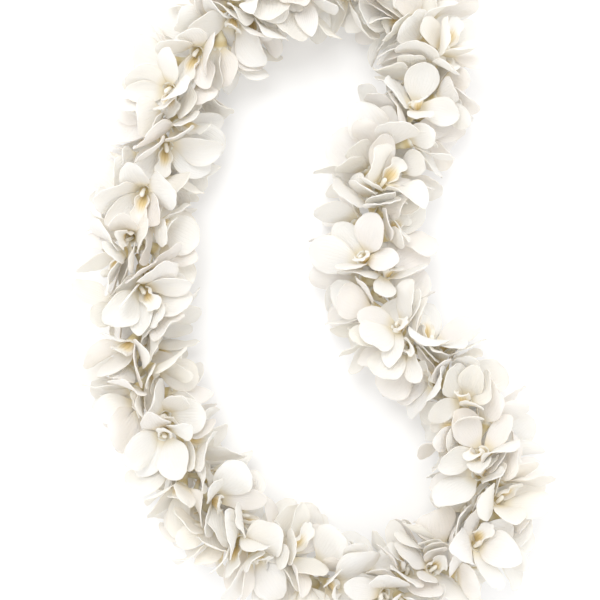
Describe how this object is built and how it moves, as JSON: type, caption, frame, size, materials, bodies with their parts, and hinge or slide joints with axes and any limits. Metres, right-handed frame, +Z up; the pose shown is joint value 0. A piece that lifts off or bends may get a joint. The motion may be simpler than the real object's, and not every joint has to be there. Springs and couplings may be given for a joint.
{
  "type": "fresh flower lei",
  "caption": "Closed garland of 162 white orchid blossoms strung on cotton, laid flat in a kidney-shaped loop.",
  "frame": {"origin": "middle of the lei's outline on the surface that it lies on", "axes": "+Y along the loop's long way, from the wearer's chest to the back of the neck, and +Z up from the surface"},
  "size_m": [0.289, 0.4422, 0.0718],
  "materials": {
    "petals": "soft white petals with a slight sheen",
    "cotton": "matte twisted cotton"
  },
  "bodies": {
    "root": {"blossom_pair_01": "petals", "blossom_pair_02": "petals", "blossom_pair_03": "petals", "blossom_pair_04": "petals", "blossom_pair_05": "petals", "blossom_pair_06": "petals", "blossom_pair_07": "petals", "blossom_pair_08": "petals", "blossom_pair_09": "petals", "blossom_pair_10": "petals", "blossom_pair_11": "petals", "blossom_pair_12": "petals", "blossom_pair_13": "petals", "blossom_pair_14": "petals", "blossom_pair_15": "petals", "blossom_pair_16": "petals", "blossom_pair_17": "petals", "blossom_pair_18": "petals", "blossom_pair_19": "petals", "blossom_pair_20": "petals", "blossom_pair_21": "petals", "blossom_pair_22": "petals", "blossom_pair_23": "petals", "blossom_pair_24": "petals", "blossom_pair_25": "petals", "blossom_pair_26": "petals", "blossom_pair_27": "petals", "blossom_pair_28": "petals", "blossom_pair_29": "petals", "blossom_pair_30": "petals", "blossom_pair_31": "petals", "blossom_pair_32": "petals", "blossom_pair_33": "petals", "blossom_pair_34": "petals", "blossom_pair_35": "petals", "blossom_pair_36": "petals", "blossom_pair_37": "petals", "blossom_pair_38": "petals", "blossom_pair_39": "petals", "blossom_pair_40": "petals", "blossom_pair_41": "petals", "blossom_pair_42": "petals", "blossom_pair_43": "petals", "blossom_pair_44": "petals", "blossom_pair_45": "petals", "blossom_pair_46": "petals", "blossom_pair_47": "petals", "blossom_pair_48": "petals", "blossom_pair_49": "petals", "blossom_pair_50": "petals", "blossom_pair_51": "petals", "blossom_pair_52": "petals", "blossom_pair_53": "petals", "blossom_pair_54": "petals", "string": "cotton", "string_knot": "cotton"}
  },
  "joints": []
}
